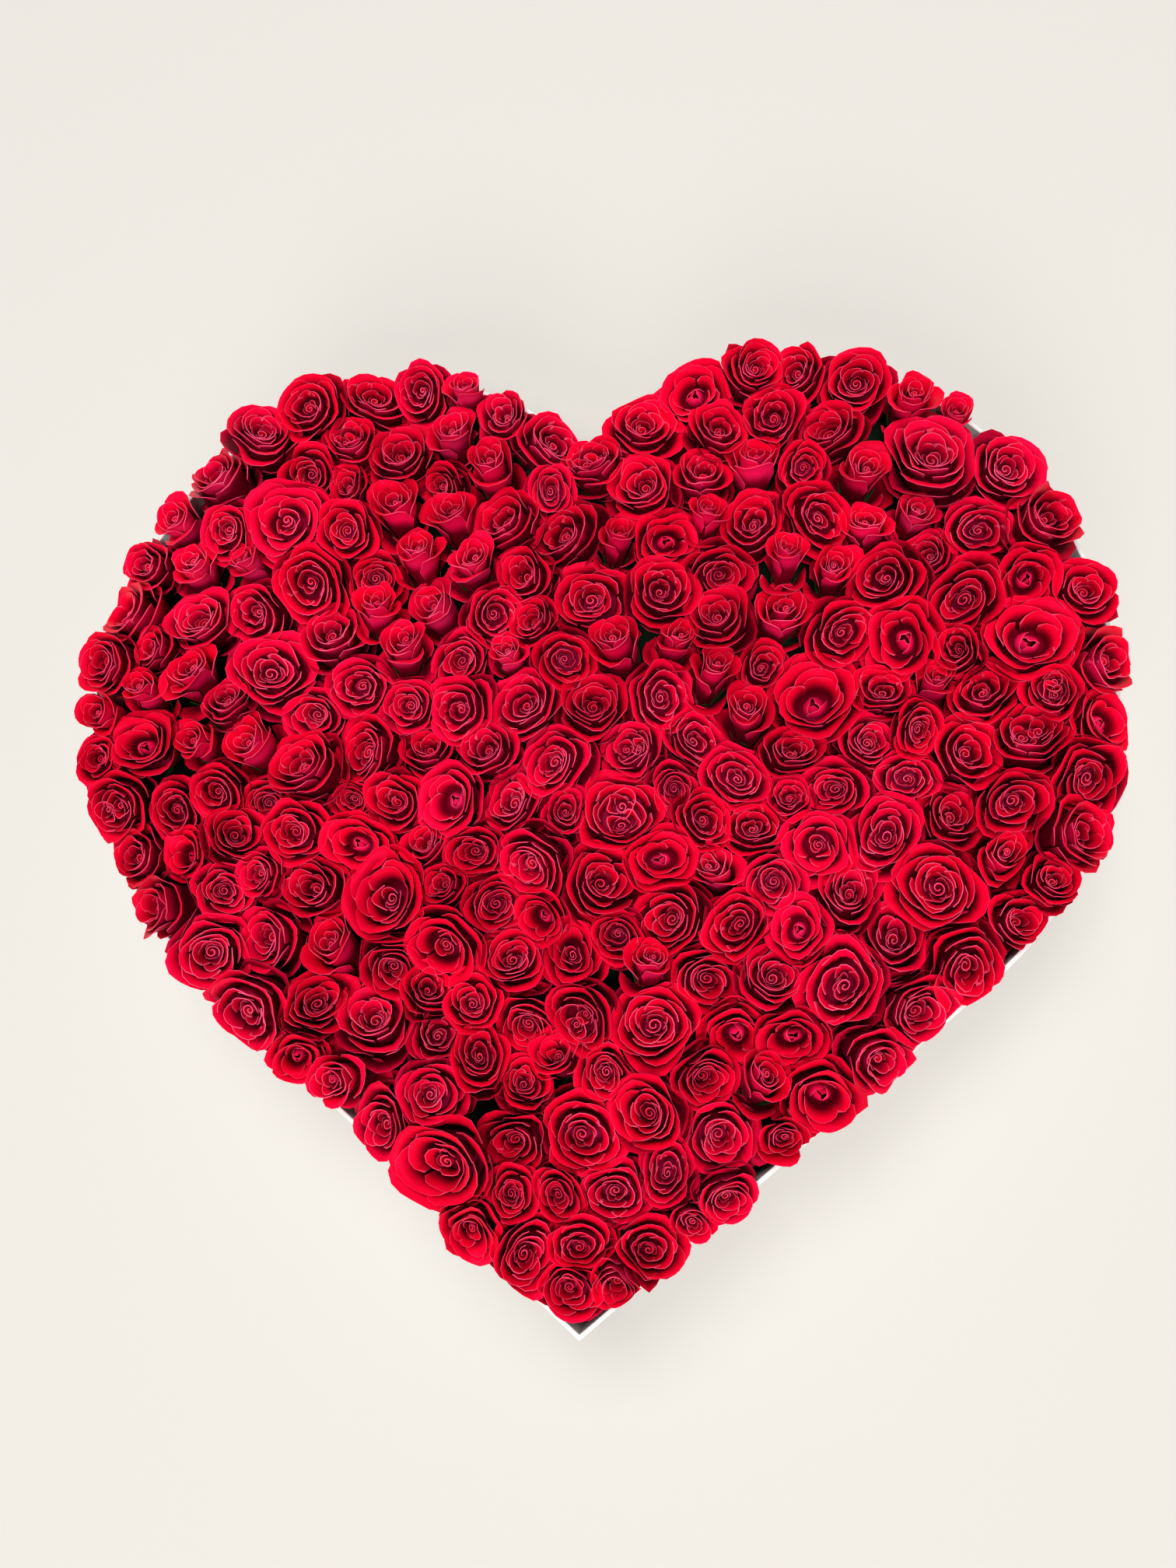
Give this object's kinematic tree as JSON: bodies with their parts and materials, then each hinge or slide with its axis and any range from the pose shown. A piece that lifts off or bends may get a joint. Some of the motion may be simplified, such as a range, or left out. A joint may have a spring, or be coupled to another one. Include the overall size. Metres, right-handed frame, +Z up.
{
  "type": "heart-shaped rose box",
  "caption": "Low heart-shaped white gift box packed with cut red roses that stand in holes in wet floral foam.",
  "frame": {"origin": "centre of the heart's bounding box on the underside of the floor board, where the box rests", "axes": "+Z up, +Y from the heart's tip towards its notch and lobes, +X to the right seen from the tip, from above"},
  "size_m": [0.6898, 0.6385, 0.1525],
  "materials": {
    "white_board": "stiff board wrapped in matt white paper",
    "liner_film": "thin dark waterproof film",
    "floral_foam": "wet green floral foam, fine open cells",
    "petals_scarlet": "velvety scarlet petals",
    "petals_crimson": "velvety crimson petals",
    "petals_cerise": "velvety petals with a cerise bloom"
  },
  "bodies": {
    "root": {"box_base": "white_board", "box_wall": "white_board", "liner": "liner_film", "foam_left": "floral_foam", "foam_right": "floral_foam", "roses_01": "petals_scarlet", "roses_02": "petals_crimson", "roses_03": "petals_cerise", "roses_04": "petals_scarlet", "roses_05": "petals_crimson", "roses_06": "petals_cerise", "roses_07": "petals_scarlet", "roses_08": "petals_crimson", "roses_09": "petals_cerise", "roses_10": "petals_scarlet", "roses_11": "petals_crimson", "roses_12": "petals_cerise", "roses_13": "petals_scarlet", "roses_14": "petals_crimson", "roses_15": "petals_cerise", "roses_16": "petals_scarlet", "roses_17": "petals_crimson", "roses_18": "petals_cerise", "roses_19": "petals_scarlet", "roses_20": "petals_crimson", "roses_21": "petals_cerise", "roses_22": "petals_scarlet", "roses_23": "petals_crimson", "roses_24": "petals_cerise", "roses_25": "petals_scarlet", "roses_26": "petals_crimson", "roses_27": "petals_cerise", "roses_28": "petals_scarlet", "roses_29": "petals_crimson", "roses_30": "petals_cerise", "roses_31": "petals_scarlet", "roses_32": "petals_crimson", "roses_33": "petals_cerise", "roses_34": "petals_scarlet", "roses_35": "petals_crimson", "roses_36": "petals_cerise", "roses_37": "petals_scarlet", "roses_38": "petals_crimson", "roses_39": "petals_cerise", "roses_40": "petals_scarlet", "roses_41": "petals_crimson", "roses_42": "petals_cerise", "roses_43": "petals_scarlet", "roses_44": "petals_crimson", "roses_45": "petals_cerise", "roses_46": "petals_scarlet"}
  },
  "joints": []
}
